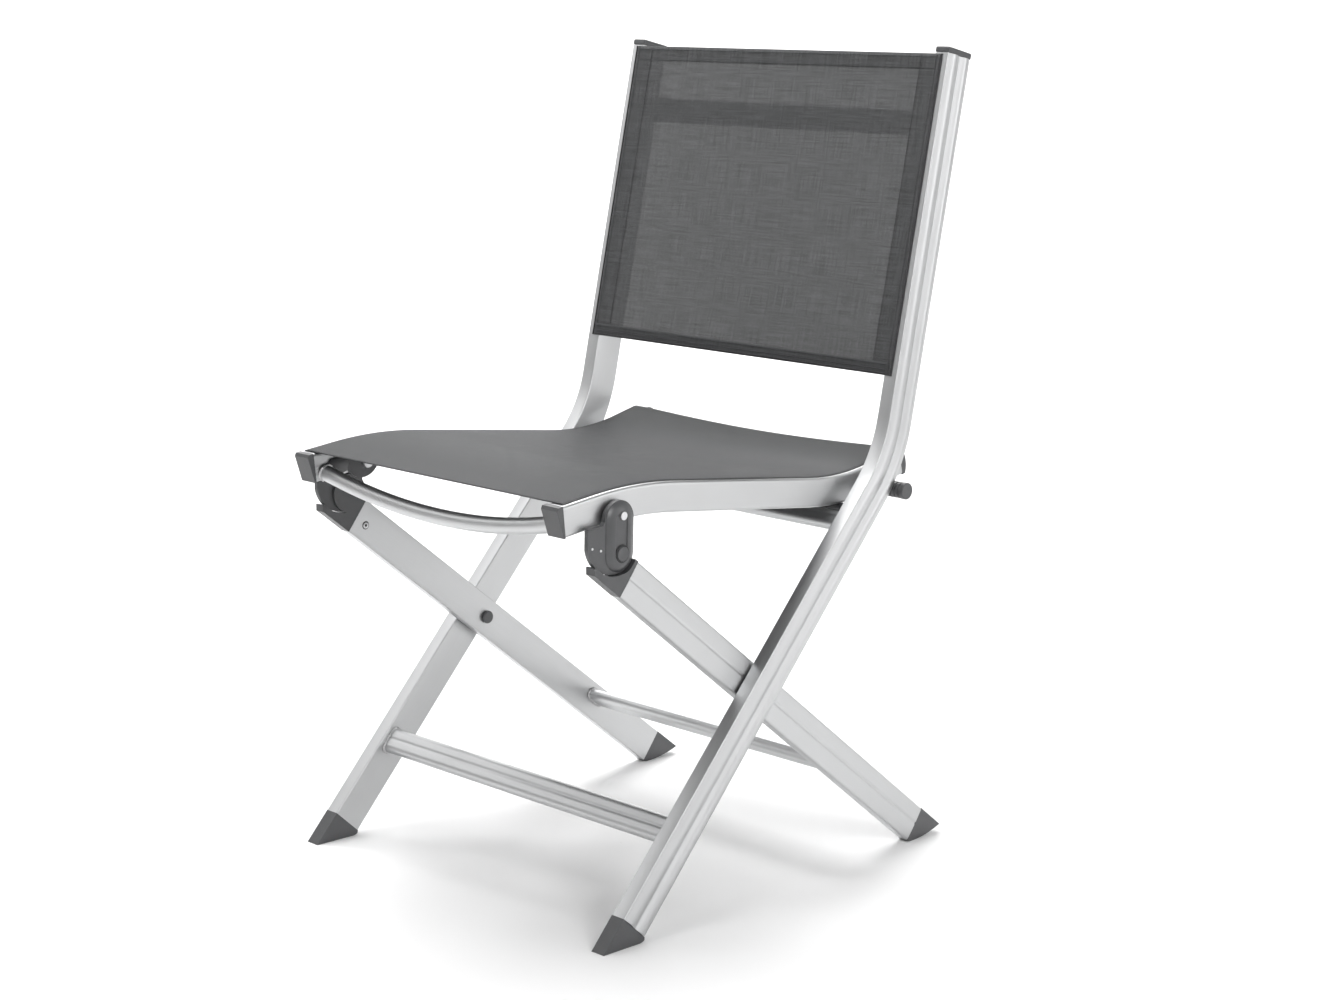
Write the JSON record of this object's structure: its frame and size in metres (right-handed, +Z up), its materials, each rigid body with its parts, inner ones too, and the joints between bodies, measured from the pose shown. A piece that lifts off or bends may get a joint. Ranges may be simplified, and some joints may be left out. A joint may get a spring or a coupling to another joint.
{
  "type": "folding garden chair",
  "caption": "Folding armless garden chair: bent aluminium uprights that run on into the front legs, crossed rear legs, and dark mesh slings for the seat and back.",
  "frame": {"origin": "on the floor, at the middle of the chair's width and depth as it stands open", "axes": "+Z up, +Y from the front towards the back, +X across the chair"},
  "size_m": [0.498, 0.6021, 0.8934],
  "materials": {
    "anodised_aluminium": "satin",
    "anthracite_plastic": "matte",
    "steel": "satin",
    "cord_plastic": "matte",
    "back_mesh": "matte",
    "seat_mesh": "matte"
  },
  "bodies": {
    "frame": {"upright_left": "anodised_aluminium", "upright_right": "anodised_aluminium", "top_cap_left": "anthracite_plastic", "top_cap_right": "anthracite_plastic", "front_foot_left": "anthracite_plastic", "front_foot_right": "anthracite_plastic", "rest_pad_left": "anthracite_plastic", "rest_pad_right": "anthracite_plastic", "back_cord_left": "cord_plastic", "back_cord_right": "cord_plastic", "pivot_spacer_left": "anthracite_plastic", "pivot_spacer_right": "anthracite_plastic", "pivot_bolt_left": "steel", "pivot_bolt_right": "steel", "pivot_cap_left": "anthracite_plastic", "pivot_cap_right": "anthracite_plastic", "front_stretcher": "anodised_aluminium", "rest_bar": "anodised_aluminium", "back_crossbar": "anodised_aluminium", "back_sling": "back_mesh"},
    "rear_legs": {"rear_leg_left": "anodised_aluminium", "rear_leg_right": "anodised_aluminium", "rear_foot_left": "anthracite_plastic", "rear_foot_right": "anthracite_plastic", "leg_plug_left": "anthracite_plastic", "leg_plug_right": "anthracite_plastic", "plug_rivet_left": "steel", "plug_rivet_right": "steel", "hinge_bracket_left": "anthracite_plastic", "hinge_bracket_right": "anthracite_plastic", "hinge_cover_left": "anthracite_plastic", "hinge_cover_right": "anthracite_plastic", "bracket_bolt_left": "steel", "bracket_bolt_right": "steel", "hinge_pin_left": "steel", "hinge_pin_right": "steel", "rear_stretcher": "anodised_aluminium"},
    "seat": {"seat_rail_left": "anodised_aluminium", "seat_rail_right": "anodised_aluminium", "seat_front_cap_left": "anthracite_plastic", "seat_front_cap_right": "anthracite_plastic", "seat_rear_cap_left": "anthracite_plastic", "seat_rear_cap_right": "anthracite_plastic", "seat_cord_left": "cord_plastic", "seat_cord_right": "cord_plastic", "hinge_plate_left": "anthracite_plastic", "hinge_plate_right": "anthracite_plastic", "roller_left": "anthracite_plastic", "roller_right": "anthracite_plastic", "roller_cap_left": "anthracite_plastic", "roller_cap_right": "anthracite_plastic", "seat_sling": "seat_mesh", "seat_front_bow": "anodised_aluminium", "seat_rear_tube": "anodised_aluminium", "roller_rod": "steel"}
  },
  "joints": [
    {"name": "leg_fold", "type": "hinge", "parent": "frame", "child": "rear_legs", "pos_m": [0, -0.0237, 0.2285], "axis": [-1, 0, 0], "range_deg": [0, 86]},
    {"name": "seat_fold", "type": "hinge", "parent": "rear_legs", "child": "seat", "pos_m": [0, -0.2228, 0.4364], "axis": [1, 0, 0], "range_deg": [0, 37]}
  ],
  "couplings": [
    {"joint": "seat_fold", "follows": "leg_fold", "ratio": 0.43}
  ]
}
